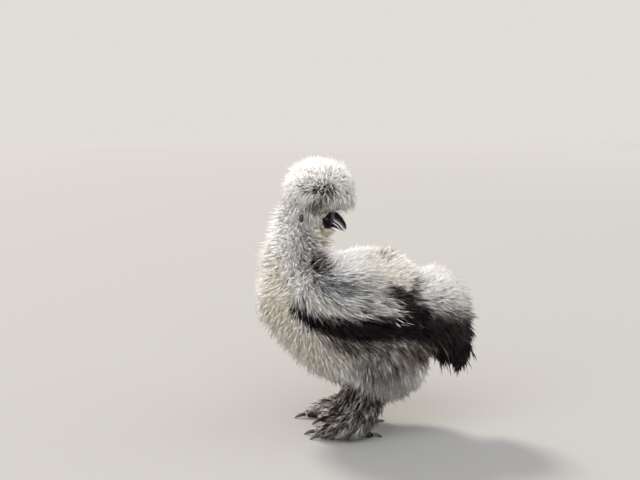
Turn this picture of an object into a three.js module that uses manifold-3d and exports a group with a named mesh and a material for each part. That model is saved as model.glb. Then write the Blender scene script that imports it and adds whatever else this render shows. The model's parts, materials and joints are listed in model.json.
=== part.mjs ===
// A life-size still model of a young silkie chicken, standing, with its head turned back over its body.
// Millimetres, +Z up. The bird's body faces -X and its left side faces -Y. The turned head faces +X,
// so the head's own right side is on -Y. Every solid reaches out to the tips of the plumage over it.
import * as THREE from 'three';
import { mergeVertices } from 'three/addons/utils/BufferGeometryUtils.js';
import Module from 'manifold-3d';

const wasm = await Module();
wasm.setup();

// Driving sizes of the whole bird
const GAP = 0.42; // clear space between neighbouring pieces
const FACET_TOLERANCE = 0.12; // flat spots closer than this to the surface are merged
const BACK_HEIGHT = 194; // top of the back over the floor
const BELLY_HEIGHT = 48; // underside of the belly over the floor
const BREAST_X = -113; // foremost point of the breast
const RUMP_X = 78; // rear end of the trunk, inside the cushion
const TRUNK_HALF_WIDTH = 55;
const HEAD_X = -50; // middle of the head, along the body
const HEAD_HEIGHT = 226; // middle of the head over the floor
const EYE_X = -40.5;
const EYE_HEIGHT = 222.5;
const EYE_RADIUS = 5.2;
const CREST_HALF_LENGTH = 38;
const CREST_HALF_WIDTH = 37;
const BILL_ROOT_X = -33.5;
const GAPE_HEIGHT = 220;
const TAIL_END_X = 114;
const HIP_HALF_SPACING = 32;

const SIDE = { left: -1, right: 1 }; // sign of Y on each side of the body
const HEAD_SIDE = { right: -1, left: 1 }; // the head is turned round, so its sides change over

const FEATHER_WHITE = '#dcd8ce';
const FEATHER_GREY = '#9a958c';
const FEATHER_BLACK = '#1f1e22';
const SKIN_DARK = '#3b3038';
const HORN_SLATE = '#20252c';

// Smooth value along a short list of evenly spaced stations
function along(list, t) {
  const curve = new THREE.SplineCurve(list.map((value, i) => new THREE.Vector2(i, value)));
  return curve.getPoint(t).y;
}

// How full a section is near the two rounded ends, whose lengths are shares of the whole
function fullness(t, ends) {
  const front = Math.min(t / ends[0], 1);
  const back = Math.min((1 - t) / ends[1], 1);
  return Math.sqrt(1 - (1 - front) ** 2) * Math.sqrt(1 - (1 - back) ** 2);
}

// A closed rounded body along a spine. wide and deep are half sizes at evenly spaced stations, and
// lie is the direction of deep. egg makes the top wider than the underside, cup bends the section
// inwards at its upper and lower edge, and relief raises soft locks on the surface.
function loft({
  spine, wide, deep, lie, ends = [0.5, 0.5], egg = 0, cup = 0, relief, sides = 18, rings = 12,
}) {
  const path = new THREE.CatmullRomCurve3(spine.map((point) => new THREE.Vector3(...point)));
  const up = new THREE.Vector3(...lie);
  const geometry = new THREE.SphereGeometry(1, sides, rings);
  const position = geometry.attributes.position;
  for (let i = 0; i < position.count; i += 1) {
    const t = THREE.MathUtils.clamp((1 - position.getY(i)) / 2, 0, 1);
    const turn = Math.atan2(position.getZ(i), position.getX(i));
    const centre = path.getPoint(t);
    const tangent = path.getTangent(t);
    const deepAxis = up.clone().addScaledVector(tangent, -up.dot(tangent)).normalize();
    const wideAxis = new THREE.Vector3().crossVectors(deepAxis, tangent);
    const size = fullness(t, ends) * (relief ? relief(turn, t) : 1);
    const upward = Math.sin(turn) * size;
    const outward = Math.cos(turn) * size * (1 + egg * Math.sin(turn)) * along(wide, t);
    centre.addScaledVector(deepAxis, upward * along(deep, t));
    centre.addScaledVector(wideAxis, outward - cup * upward ** 2);
    position.setXYZ(i, centre.x, centre.y, centre.z);
  }
  return closed(geometry);
}

// Shared corners merged, faces pointing out
function closed(geometry) {
  geometry.deleteAttribute('normal');
  geometry.deleteAttribute('uv');
  const merged = mergeVertices(geometry, 1e-4);
  const corners = merged.attributes.position.array;
  const index = [];
  for (let i = 0; i < merged.index.count; i += 3) {
    const [a, b, c] = [0, 1, 2].map((k) => merged.index.getX(i + k));
    if (a !== b && b !== c && c !== a) index.push(a, b, c);
  }
  if (volume(corners, index) < 0) index.reverse();
  merged.setIndex(index);
  return merged;
}

function volume(corners, index) {
  const [a, b, c] = [new THREE.Vector3(), new THREE.Vector3(), new THREE.Vector3()];
  let sum = 0;
  for (let i = 0; i < index.length; i += 3) {
    a.fromArray(corners, index[i] * 3);
    b.fromArray(corners, index[i + 1] * 3);
    c.fromArray(corners, index[i + 2] * 3);
    sum += a.dot(b.cross(c)) / 6;
  }
  return sum;
}

// The same surface pushed outwards by a small distance
function grown(geometry, distance) {
  const copy = geometry.clone();
  copy.computeVertexNormals();
  const { position, normal } = copy.attributes;
  for (let i = 0; i < position.count; i += 1) {
    const point = new THREE.Vector3().fromBufferAttribute(position, i);
    point.addScaledVector(new THREE.Vector3().fromBufferAttribute(normal, i), distance);
    position.setXYZ(i, point.x, point.y, point.z);
  }
  copy.deleteAttribute('normal');
  return copy;
}

function toSolid(geometry) {
  const vertProperties = Float32Array.from(geometry.attributes.position.array);
  const triVerts = Uint32Array.from(geometry.index.array);
  return new wasm.Manifold(new wasm.Mesh({ numProp: 3, vertProperties, triVerts }));
}

function joined(geometries) {
  return geometries.map(toSolid).reduce((sum, solid) => sum.add(solid));
}

// Crumbs that a cut leaves behind are dropped
function largest(solid) {
  return solid.decompose().reduce((best, piece) => (piece.volume() > best.volume() ? piece : best));
}

function toGeometry(solid) {
  const { vertProperties, triVerts } = solid.getMesh();
  const geometry = new THREE.BufferGeometry();
  geometry.setAttribute('position', new THREE.BufferAttribute(vertProperties, 3));
  geometry.setIndex(new THREE.BufferAttribute(triVerts, 1));
  return geometry;
}

// Soft locks: count ridges round the section, growing stronger towards the far end
function locks(count, height, from = 0) {
  return (turn, t) => 1 + height * Math.cos(count * turn + 9 * t) * THREE.MathUtils.smoothstep(t, from, 1);
}

const FORWARD = [1, 0, 0];
const UPWARD = [0, 0, 1];
const pieces = []; // from the innermost or most exact piece outwards

function add(name, parts, color, roughness = 0.9) {
  pieces.push({ name, parts: [parts].flat(), color, roughness });
}

// Eyes, set into the sides of the skull
for (const [side, sign] of Object.entries(HEAD_SIDE)) {
  const [inner, outer] = [3.4, 12.6].map((y) => [EYE_X, sign * y, EYE_HEIGHT]);
  const eye = { spine: [inner, outer], wide: [EYE_RADIUS, EYE_RADIUS], deep: [EYE_RADIUS, EYE_RADIUS] };
  add(`eye_${side}`, loft({ ...eye, lie: UPWARD, sides: 12, rings: 6 }), '#14100f', 0.15);
}

// Bill: both mandibles curve down from the face to a blunt point
const upperSpine = [[-5, 0, 6.6], [0, 0, 5], [5.6, 0, 0.4], [10, 0, -5.4], [12.2, 0, -10.6]];
const lowerSpine = [[-5, 0, -1], [0, 0, -2.7], [5, 0, -5.3], [9.2, 0, -9.6]];
const fromGape = ([x, , z]) => [BILL_ROOT_X + x, 0, GAPE_HEIGHT + z];
add('bill_upper', loft({
  spine: upperSpine.map(fromGape), wide: [6, 5.6, 4.6, 3, 1.2], deep: [6.2, 5.6, 4.9, 3.6, 1.6],
  lie: [0.6, 0, 1], ends: [0.2, 0.16], sides: 12, rings: 8,
}), HORN_SLATE, 0.4);
add('bill_lower', loft({
  spine: lowerSpine.map(fromGape), wide: [5.4, 4.9, 3.6, 1.4], deep: [3.6, 3.4, 2.6, 1.2],
  lie: [0.6, 0, 1], ends: [0.2, 0.2], sides: 10, rings: 6,
}), HORN_SLATE, 0.4);

// Ear lobes and the small cushion comb in front of the crest
const LOBE_SIDE = 24.4; // the lobes lie at the surface of the cheek fluff
for (const [side, sign] of Object.entries(HEAD_SIDE)) {
  const spine = [[HEAD_X - 15.6, sign * LOBE_SIDE, 221], [HEAD_X - 15.2, sign * LOBE_SIDE, 229.8]];
  const lobe = { spine, wide: [1.9, 1.9], deep: [2.5, 2.2], lie: FORWARD, sides: 8, rings: 5 };
  add(`earlobe_${side}`, loft(lobe), '#33475e', 0.6);
}
add('comb', loft({
  spine: [[-35, 0, 231.5], [-31, 0, 234.2], [-26.6, 0, 232.4]], wide: [4, 4.6, 3.4], deep: [3, 3.4, 2.6],
  lie: UPWARD, relief: locks(5, 0.12), sides: 10, rings: 6,
}), '#6b4f5c', 0.7);

// Claws and toes. Each foot has five toes, as the breed has. Angles are measured from straight
// ahead, positive outwards; a negative heading turns the whole foot inwards.
const TOES = {
  1: { angle: -160, length: 20, claw: 9, radius: 3.5, climb: 0 },
  2: { angle: -30, length: 31, claw: 11, radius: 4.0, climb: 0 },
  3: { angle: 2, length: 43, claw: 12, radius: 4.4, climb: 0 },
  4: { angle: 36, length: 37, claw: 11, radius: 4.1, climb: 0 },
  5: { angle: -176, length: 20, claw: 11, radius: 3.3, climb: 0.42 },
};
const FEET = {
  left: { ball: [-11, -26], heading: -14, outerToe: -17 },
  right: { ball: [-21, 37], heading: -2, outerToe: 22 },
};
const SOLE_CUT = 0.8; // depth of the flat pressed into each round toe
const CLAW_TIP_HEIGHT = -0.3; // the claws' tips rest on the floor, which cuts them flat
const RAISED_TOE = 7; // how far the fifth toe's root lies over the others
const RAISED_CLAW_DROOP = 0.28; // how far a raised claw bends down, as a share of its length

for (const [side, { ball, heading, outerToe }] of Object.entries(FEET)) {
  const sign = SIDE[side];
  const toes = [];
  for (const [number, toe] of Object.entries(TOES)) {
    const spread = number === '4' ? outerToe : 0;
    const angle = THREE.MathUtils.degToRad(toe.angle + heading + spread);
    const ahead = [-Math.cos(angle), sign * Math.sin(angle)];
    const rootHeight = toe.radius - SOLE_CUT + (toe.climb ? RAISED_TOE : 0);
    const place = (distance, height) => [
      ball[0] + ahead[0] * distance, ball[1] + ahead[1] * distance, height + toe.climb * distance,
    ];
    const rise = (share) => rootHeight + 0.9 * Math.sin(Math.PI * share);
    const stations = [-0.12, 0.2, 0.5, 0.8, 1].map((share) => place(share * toe.length, rise(share)));
    const joints = (turn, t) => 1 + 0.05 * Math.cos(t * Math.PI * (number === '1' ? 3 : 5));
    const widths = [1.2, 1.05, 1, 0.92, 0.8].map((share) => share * toe.radius);
    toes.push(loft({
      spine: stations, wide: widths, deep: widths, lie: UPWARD, ends: [0.12, 0.14],
      relief: joints, sides: 8, rings: number === '1' ? 5 : 6,
    }));
    const clawRoot = Math.max(rootHeight + 0.9, 3.4);
    const droop = toe.climb ? RAISED_CLAW_DROOP * toe.claw : clawRoot - CLAW_TIP_HEIGHT;
    const clawSpine = [0, 0.4, 0.75, 1].map((share) => place(
      toe.length - 1.8 + share * (toe.claw + 1), clawRoot - droop * share ** 2,
    ));
    add(`claw_${side}_${number}`, loft({
      spine: clawSpine, wide: [1.9, 1.7, 1.1, 0.5], deep: [2.2, 2.0, 1.3, 0.5], lie: UPWARD,
      ends: [0.16, 0.15], sides: 6, rings: 5,
    }), '#3a332e', 0.45);
  }
  const pad = loft({
    spine: [[ball[0] + 7, ball[1], 6], [ball[0], ball[1], 5.4], [ball[0] - 8, ball[1], 4.4]],
    wide: [5.5, 7, 6.5], deep: [5.6, 6, 5], lie: UPWARD, sides: 8, rings: 5,
  });
  add(`foot_${side}`, [...toes, pad], SKIN_DARK, 0.8);
}

// Shanks, feathered down to the toes
const HOCK = { x: 18, height: 66 };
for (const [side, { ball }] of Object.entries(FEET)) {
  const [x, y] = ball;
  const hockY = SIDE[side] * HIP_HALF_SPACING;
  add(`shank_${side}`, loft({
    spine: [
      [x + 5, y, 8], [x + 9, y, 24], [x + 17, y + 0.3 * (hockY - y), 44], [HOCK.x, hockY, HOCK.height],
    ],
    wide: [9.5, 11, 12, 12], deep: [12, 14, 15.5, 16], lie: FORWARD, ends: [0.3, 0.3],
    relief: locks(5, 0.05), sides: 10, rings: 6,
  }), FEATHER_GREY);
}

// Head: the skull with its short face feathers, tilted down towards the bill
add('head', loft({
  spine: [
    [HEAD_X - 22, 0, HEAD_HEIGHT + 4], [HEAD_X - 10, 0, HEAD_HEIGHT + 2.5],
    [HEAD_X + 2, 0, HEAD_HEIGHT], [HEAD_X + 11, 0, HEAD_HEIGHT - 2.6],
    [HEAD_X + 19.5, 0, HEAD_HEIGHT - 4.2],
  ],
  wide: [15, 16.6, 14.4, 10.6, 6.6], deep: [16, 17.5, 16.2, 11.6, 8.4], lie: UPWARD,
  ends: [0.4, 0.2], sides: 14, rings: 8,
}), SKIN_DARK, 0.8);

// Trunk: deep in the breast, widest over the upper half, rising to the rump
const TRUNK_MIDDLE = (BACK_HEIGHT + BELLY_HEIGHT) / 2;
const TRUNK_HALF_DEPTH = (BACK_HEIGHT - BELLY_HEIGHT) / 2;
add('trunk', loft({
  spine: [
    [BREAST_X, 0, TRUNK_MIDDLE + 23], [BREAST_X * 0.58, 0, TRUNK_MIDDLE + 12],
    [-19, 0, TRUNK_MIDDLE], [28, 0, TRUNK_MIDDLE], [RUMP_X, 0, TRUNK_MIDDLE + 5],
  ],
  wide: [48, 55, TRUNK_HALF_WIDTH, 53, 46],
  deep: [50, 60, TRUNK_HALF_DEPTH, TRUNK_HALF_DEPTH - 1, 62],
  lie: UPWARD, ends: [0.5, 0.3], egg: 0.07, relief: locks(7, 0.012), sides: 22, rings: 12,
}), FEATHER_WHITE);

// Neck: a thick muff of feathers that rises from the breast and swells behind the head
add('neck', loft({
  spine: [[-58, 0, 118], [-72, 0, 158], [-70, 0, 192], [-68.5, 0, 211], [-73, 0, 226], [-72, 0, 246]],
  wide: [42, 46, 38, 30, 25.5, 18], deep: [38, 40.5, 36, 33, 25.5, 20],
  lie: FORWARD, ends: [0.3, 0.26], relief: locks(7, 0.022), sides: 17, rings: 10,
}), FEATHER_WHITE);

// Crest: a globe of fine feathers, cut off level with the eyes
const CREST_X = -47;
const CREST_MIDDLE = 251;
const CREST_TOP = 284;
const CREST_UNDERSIDE = 232.5;
const CREST_DROP = 0.1; // the underside hangs lower behind the face, as a slope
add('crest', crest(), FEATHER_WHITE);

function crest() {
  const geometry = new THREE.SphereGeometry(1, 20, 9);
  const position = geometry.attributes.position;
  for (let i = 0; i < position.count; i += 1) {
    const height = position.getY(i);
    const turn = Math.atan2(position.getZ(i), position.getX(i));
    const level = Math.hypot(position.getX(i), position.getZ(i));
    // the underside is flatter and squarer than the crown
    const bulge = height < 0 ? level ** 0.45 : level;
    const ray = bulge * (1 + 0.03 * Math.cos(9 * turn + 5 * height));
    const reach = height < 0 ? CREST_MIDDLE - CREST_UNDERSIDE : CREST_TOP - CREST_MIDDLE;
    const ahead = CREST_HALF_LENGTH * ray * Math.cos(turn);
    const drop = height < 0 ? CREST_DROP * ahead : 0;
    position.setXYZ(
      i, CREST_X + ahead, CREST_HALF_WIDTH * ray * Math.sin(turn), CREST_MIDDLE + reach * height + drop,
    );
  }
  return closed(geometry);
}

// Thighs: loose fluff from the flank down to the hock
for (const [side, sign] of Object.entries(SIDE)) {
  const y = sign * HIP_HALF_SPACING;
  add(`thigh_${side}`, loft({
    spine: [[18, y * 0.85, 112], [23, y * 0.95, 84], [25, y, 40]],
    wide: [24, 27, 21], deep: [42, 41, 34], lie: FORWARD, ends: [0.4, 0.42],
    relief: locks(5, 0.05, 0.3), sides: 15, rings: 8,
  }), FEATHER_GREY);
}

// Wings: folded against the flanks, black along the lower edge, with a free rear tip
const WING_REACH = [-75, -46, -13, 19, 48]; // stations along the body, from the shoulder back
const WING_BOW = [40, 51, 55, 53, 45];
const WING_LEVEL = [149, 144, 137, 136, 142];
const WING_CUP = 15; // how far the upper and lower edges lean in to the flank
for (const [side, sign] of Object.entries(SIDE)) {
  add(`wing_${side}`, loft({
    spine: WING_REACH.map((x, i) => [x, sign * WING_BOW[i], WING_LEVEL[i]]),
    wide: [9, 9.5, 9.5, 8, 4.5].map((thickness) => thickness * sign), deep: [25, 39, 44, 40, 21],
    lie: UPWARD, ends: [0.26, 0.2], cup: sign * WING_CUP, relief: locks(5, 0.03, 0.2), sides: 16, rings: 10,
  }), FEATHER_BLACK);
}

// Cushion: the dome of loose saddle feathers over the tail
add('cushion', loft({
  spine: [[34, 0, 143], [69, 0, 137], [TAIL_END_X - 8, 0, 108]],
  wide: [42, 46, 38], deep: [34, 36, 27], lie: UPWARD, ends: [0.45, 0.42],
  relief: locks(6, 0.03), sides: 18, rings: 8,
}), FEATHER_WHITE);

// Tail: short ragged feathers hanging down behind
add('tail', loft({
  spine: [[58, 0, 130], [79, 0, 114], [92, 0, 92], [99, 0, 64]],
  wide: [33, 38, 33, 20], deep: [24, 29, 23, 13], lie: FORWARD, ends: [0.3, 0.3],
  relief: locks(7, 0.1, 0.3), sides: 21, rings: 7,
}), FEATHER_BLACK);

// Foot feathers: stiff feathers that sweep down from the shank and fan out over the outer toes
const FLUFFINESS = { left: 1, right: 0.66 }; // the right foot's feathers lie flatter
for (const [side, { ball }] of Object.entries(FEET)) {
  const [x, y] = ball;
  const out = SIDE[side];
  const high = FLUFFINESS[side];
  add(`foot_feathers_${side}`, loft({
    spine: [
      [x + 22, y + out * 3, 9 + 17 * high], [x + 3, y + out * 7, 8 + 12 * high],
      [x - 20, y + out * 6, 8 + 5 * high], [x - 43, y + out, 8],
    ],
    wide: [10, 14, 12, 6], deep: [17, 18, 12, 6].map((size) => size * high ** 0.7),
    lie: UPWARD, ends: [0.3, 0.25],
    relief: locks(5, 0.08), sides: 8, rings: 5,
  }), FEATHER_GREY);
}

// Everything is cut flat at the floor, and each piece is cut by the pieces listed before it
const FLOOR_BLOCK = closed(new THREE.BoxGeometry(600, 600, 100).translate(0, 0, -50));
const bird = new THREE.Group();
const solids = [];
for (const { name, parts, color, roughness } of pieces) {
  const spare = joined(parts.map((part) => grown(part, GAP)));
  let solid = joined(parts).subtract(toSolid(FLOOR_BLOCK));
  for (const earlier of solids) solid = solid.subtract(earlier);
  solids.push(spare);
  solid = largest(solid.simplify(FACET_TOLERANCE));
  const material = new THREE.MeshStandardMaterial({ color, roughness });
  const mesh = new THREE.Mesh(toGeometry(solid), material);
  mesh.name = name;
  bird.add(mesh);
}

// The origin is under the middle of the bird's box, on the floor
const box = new THREE.Box3().setFromObject(bird);
const middle = box.getCenter(new THREE.Vector3());
bird.position.set(-middle.x, -middle.y, -box.min.z);

export default bird;
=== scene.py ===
# %% [markdown]
# # A young silkie chicken
# The bird stands side-on with its head turned back over its shoulder. A silkie has hair-like plumage:
# its feathers have no hooks to hold them flat, so the whole coat is loose fluff. The solids of the
# frame reach out to the tips of that fluff. This lesson lays one skin under them, gives the bare face,
# bill, comb and claws their own finish, and then plants the coat on the skin, tuft by tuft.

# %% Load the frame
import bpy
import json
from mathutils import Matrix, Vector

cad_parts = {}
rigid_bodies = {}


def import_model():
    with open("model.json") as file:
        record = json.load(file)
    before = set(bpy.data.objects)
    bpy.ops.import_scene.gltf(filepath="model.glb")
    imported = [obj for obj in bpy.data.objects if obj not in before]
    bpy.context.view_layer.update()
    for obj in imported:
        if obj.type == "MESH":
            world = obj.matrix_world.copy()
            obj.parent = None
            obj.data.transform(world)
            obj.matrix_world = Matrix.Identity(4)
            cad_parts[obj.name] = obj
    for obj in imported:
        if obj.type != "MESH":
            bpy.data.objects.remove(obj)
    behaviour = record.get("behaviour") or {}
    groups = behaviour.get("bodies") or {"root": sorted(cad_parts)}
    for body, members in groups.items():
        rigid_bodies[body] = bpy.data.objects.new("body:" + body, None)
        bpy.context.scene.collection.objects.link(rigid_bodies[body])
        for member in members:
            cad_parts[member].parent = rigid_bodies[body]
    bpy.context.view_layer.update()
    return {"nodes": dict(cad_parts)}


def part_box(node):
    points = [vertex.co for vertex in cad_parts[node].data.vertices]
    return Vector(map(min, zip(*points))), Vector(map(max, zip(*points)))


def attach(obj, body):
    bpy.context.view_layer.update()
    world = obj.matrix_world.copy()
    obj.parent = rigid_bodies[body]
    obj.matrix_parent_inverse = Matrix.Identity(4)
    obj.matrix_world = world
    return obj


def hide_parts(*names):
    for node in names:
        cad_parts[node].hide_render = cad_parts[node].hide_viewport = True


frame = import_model()

# %% Tools and units
import json
import math

import bpy
import numpy as np
from mathutils import Vector, noise
from mathutils.bvhtree import BVHTree

MM = 0.001
TURN = 2 * math.pi
rng = np.random.default_rng(11)
scene = bpy.context.scene

# %% [markdown]
# ## One place to measure from
# Every place below is in millimetres from a point on the floor in the bird's own mid-plane. The two
# eyes give that point: their middle is 40.5 mm ahead of it and 222.5 mm over the floor. Minus X is
# the way the breast faces, minus Y is the bird's left side, which is the side seen here.

# %% Places on the bird
EYE_PLACE = np.array([-40.5, 0.0, 222.5])


def centre_of(node):
    low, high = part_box(node)
    return (low + high) / 2


eye_middle = (centre_of("eye_right") + centre_of("eye_left")) / 2
ORIGIN = np.array(eye_middle) - EYE_PLACE * MM


def to_bird(metres):
    return (np.asarray(metres) - ORIGIN) / MM


def to_row(places):
    return np.asarray(places) * MM + ORIGIN


EYE_SIDE = abs(to_bird(centre_of("eye_right"))[1])
print("the bird's own origin lies at", ORIGIN.round(5), "and each eye", round(EYE_SIDE, 2), "mm aside")

# %% [markdown]
# ## Camera, floor and light
# The photograph was taken from about 0.9 m away and 0.32 m up, looking a little down. A soft key
# light from behind the breast lights the rim of the fluff, and a very wide one fills the near side.

# %% Camera
CAMERA_PLACE = (-47, -900, 317)
LOOK_DOWN = 7.37  # degrees
LENS = 50  # mm, over a sensor 36 mm wide

camera = bpy.data.objects.new("camera", bpy.data.cameras.new("camera"))
scene.collection.objects.link(camera)
camera.location = to_row(CAMERA_PLACE)
camera.rotation_euler = (math.radians(90 - LOOK_DOWN), 0, 0)
camera.data.lens = LENS
camera.data.sensor_width = 36
scene.camera = camera
print("camera at", np.round(camera.location, 4), "with a lens of", LENS, "mm")

# %% [markdown]
# ## Colours and node trees
# Colours are written as on a paint chart and turned into amounts of light. A material is a tree of
# nodes, so one function adds a node with its settings and links, and another starts a tree with the
# values that stay the same all over it.

# %% Colours
def linear(text):
    """An sRGB colour such as #efeae0 as the linear values that a shader works with."""
    parts = [int(text[i:i + 2], 16) / 255 for i in (1, 3, 5)]
    return tuple(c / 12.92 if c <= 0.04045 else ((c + 0.055) / 1.055) ** 2.4 for c in parts) + (1.0,)


# settings and sockets of a Mix node that mixes colours
BLEND = {"data_type": "RGBA", "blend_type": "MIX"}
MULTIPLY = {"data_type": "RGBA", "blend_type": "MULTIPLY"}
FACTOR, FIRST, SECOND, MIXED = 0, 6, 7, 2


def add_node(tree, kind, inputs=None, **settings):
    """Adds a node. Each input is a value, or the output of another node to link from."""
    node = tree.nodes.new(kind)
    for name, value in settings.items():
        setattr(node, name, value)
    for socket, value in (inputs or {}).items():
        if isinstance(value, bpy.types.NodeSocket):
            tree.links.new(value, node.inputs[socket])
        else:
            node.inputs[socket].default_value = value
    return node


def new_material(name, inputs):
    """A material with a Principled BSDF of these values. Returns it, its tree and the BSDF."""
    material = bpy.data.materials.new(name)
    material.use_nodes = True
    tree = material.node_tree
    tree.nodes.clear()
    shader = add_node(tree, "ShaderNodeBsdfPrincipled", inputs)
    add_node(tree, "ShaderNodeOutputMaterial", {"Surface": shader.outputs["BSDF"]})
    return material, tree, shader


def set_stops(ramp, stops):
    """Gives a colour ramp its stops, as pairs of place and colour."""
    while len(ramp.elements) < len(stops):
        ramp.elements.new(1.0)
    for element, (place, colour) in zip(ramp.elements, stops):
        element.position = place
        element.color = linear(colour)


# %% [markdown]
# ## Working on one piece at a time
# An edit acts on all that is selected, so each piece is first left selected alone. Places and
# normals of a mesh are read as arrays, which is quick for the many points of a skin.

# %% Selecting, reading and finishing
def take(piece):
    """Leaves this piece alone selected and active."""
    for other in list(bpy.context.selected_objects):
        other.select_set(False)
    piece.select_set(True)
    bpy.context.view_layer.objects.active = piece


def edit(piece, step, **settings):
    """Does one step of edit mode to the whole of a piece."""
    take(piece)
    bpy.ops.object.mode_set(mode="EDIT")
    bpy.ops.mesh.select_all(action="SELECT")
    step(**settings)
    bpy.ops.object.mode_set(mode="OBJECT")


def apply_modifier(piece, kind, **settings):
    take(piece)
    modifier = piece.modifiers.new(kind.lower(), kind)
    for name, value in settings.items():
        setattr(modifier, name, value)
    bpy.ops.object.modifier_apply(modifier=modifier.name)


def read(items, name, width=None, kind=np.float32):
    """One property of all items, such as the points or edges of a mesh, as an array."""
    values = np.empty(len(items) * (width or 1), kind)
    items.foreach_get(name, values)
    values = values.astype(float if kind is np.float32 else int)
    return values.reshape(-1, width) if width else values


def corners(mesh):
    """Vertex places of a mesh as an array."""
    return read(mesh.vertices, "co", 3)


def set_corners(mesh, places):
    mesh.vertices.foreach_set("co", np.asarray(places, np.float32).ravel())
    mesh.update()


def normals(mesh):
    return read(mesh.vertex_normals, "vector", 3)


def merged_copy(node, name):
    """A copy of a solid with its loose triangles merged into one closed mesh."""
    piece = bpy.data.objects.new(name, frame["nodes"][node].data.copy())
    scene.collection.objects.link(piece)
    piece.data.materials.clear()
    edit(piece, bpy.ops.mesh.remove_doubles, threshold=1e-6)
    edit(piece, bpy.ops.mesh.normals_make_consistent, inside=False)
    return piece


# %% Floor
# matt paint with a faint cloudiness, so that it reads as a surface and not as a void
floor_material, tree, shader = new_material("painted studio floor", {"Roughness": 0.9})
cloud = add_node(tree, "ShaderNodeTexNoise", {"Scale": 3.0, "Detail": 3.0})
ramp = add_node(tree, "ShaderNodeValToRGB", {"Fac": cloud.outputs["Fac"]})
set_stops(ramp.color_ramp, [(0.3, "#888887"), (0.7, "#8e8e8d")])
tree.links.new(ramp.outputs["Color"], shader.inputs["Base Color"])

bpy.ops.mesh.primitive_plane_add(size=30, location=(0, 0, -0.0001))
floor = bpy.context.active_object
floor.name = "floor"
floor.data.materials.append(floor_material)
print("floor:", floor.dimensions.x, "m wide")

# %% Lights
# name: where it comes from, strength, how wide it looks in degrees, colour
LIGHTS = {
    "key": ((-0.45, 0.55, 0.85), 3.8, 14, "#fff4e6"),
    "top": ((0.8, -0.2, 0.9), 1.0, 60, "#ffffff"),
    "fill": ((-0.3, -1.0, 0.6), 4.0, 80, "#f8f9ff"),
}
for name, (away, strength, wide, colour) in LIGHTS.items():
    lamp = bpy.data.objects.new(name, bpy.data.lights.new(name, "SUN"))
    scene.collection.objects.link(lamp)
    lamp.rotation_euler = (-Vector(away)).to_track_quat("-Z", "Y").to_euler()
    lamp.data.energy = strength
    lamp.data.angle = math.radians(wide)
    lamp.data.color = linear(colour)[:3]

world = bpy.data.worlds.new("studio")
world.use_nodes = True
world.node_tree.nodes["Background"].inputs["Color"].default_value = linear("#efebe5")
world.node_tree.nodes["Background"].inputs["Strength"].default_value = 0.87
scene.world = world
scene.view_settings.view_transform = "Standard"
print("lights:", *LIGHTS)

# %% [markdown]
# ## The skin
# Under the fluff a bird is one unbroken skin. The solids that hold flesh are copied, swollen until
# they overlap, and joined by a voxel remesh into one closed surface, the outline of the fluff. Each
# point of it then moves inwards by the depth of the coat at that place, which leaves the skin. Doing
# it in this order keeps, for each point of the skin, the place that its feathers have to reach.

# %% Outline of the fluff
SIDES = {"left": -1, "right": 1}
FLESH = ["head", "neck", "trunk", "crest", "cushion", "tail"]
PAIRED = ["wing", "thigh", "shank", "foot", "foot_feathers"]
FLESH += [f"{part}_{side}" for part in PAIRED for side in SIDES]
SWELL = 1.8 * MM
VOXEL = 1.68 * MM
OUTLINE_OVER_SOLIDS = 0.6 * MM
REMESH_ROUNDS = 6  # of smoothing, to take off the steps of the voxels
JOINT_ROUNDS = 40  # of smoothing where one part runs into the next

copies = [merged_copy(node, "flesh_" + node) for node in FLESH]
nearest_corners = []
nearest_faces = []
face_region = []
for number, piece in enumerate(copies):
    base = sum(len(block) for block in nearest_corners)
    swollen = corners(piece.data) + SWELL * normals(piece.data)
    set_corners(piece.data, swollen)
    nearest_corners.append(swollen)
    for face in piece.data.polygons:
        nearest_faces.append([base + v for v in face.vertices])
        face_region.append(number)
solids_tree = BVHTree.FromPolygons(np.concatenate(nearest_corners).tolist(), nearest_faces)

take(copies[0])
for piece in copies:
    piece.select_set(True)
bpy.ops.object.join()
skin = bpy.context.active_object
skin.name = "skin"
apply_modifier(skin, "REMESH", mode="VOXEL", voxel_size=VOXEL, use_smooth_shade=True)
set_corners(skin.data, corners(skin.data) - (SWELL - OUTLINE_OVER_SOLIDS) * normals(skin.data))
print("outline:", len(skin.data.vertices), "points")

# %% Which part each point belongs to
outline = corners(skin.data)
region = np.array([face_region[solids_tree.find_nearest(Vector(p))[2]] for p in outline])
edges = read(skin.data.edges, "vertices", 2, np.int32)


def soften(values, rounds, share=1.0):
    """Averages a value of each point with its neighbours' along the surface, some rounds over."""
    values = np.array(values, float)
    count = np.bincount(edges.ravel(), minlength=len(values)).clip(1)
    columns = values.reshape(len(values), -1)
    for _ in range(rounds):
        for k in range(columns.shape[1]):
            column = columns[:, k]
            total = np.bincount(edges[:, 0], column[edges[:, 1]], len(column))
            total += np.bincount(edges[:, 1], column[edges[:, 0]], len(column))
            columns[:, k] = column + share * (total / count - column)
    return columns.reshape(values.shape)


def unit(v):
    return v / np.linalg.norm(v, axis=-1, keepdims=True).clip(1e-9)


def scaled(rows, factor):
    """Rows of an array, each times its own factor."""
    return rows * np.asarray(factor)[:, None]


def step(value, low, high):
    """0 below low, 1 above high, smooth between."""
    t = np.clip((value - low) / (high - low), 0, 1)
    return t * t * (3 - 2 * t)


def noise_at(p, size):
    """Smooth noise at places p, from about -1 to 1, that changes over a distance of about size."""
    return np.array([noise.noise(Vector(q) / size) for q in p])


def near(p, *spans):
    """1 in the middle of all the spans (axis, middle, width in mm), falling off outside them."""
    return np.exp(-sum(((p[:, axis] - middle) / width) ** 2 for axis, middle, width in spans))


outline = soften(outline, REMESH_ROUNDS, 0.5)
at = to_bird(outline)
aside = np.stack([at[:, 0], np.abs(at[:, 1]), at[:, 2]], 1)
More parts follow.
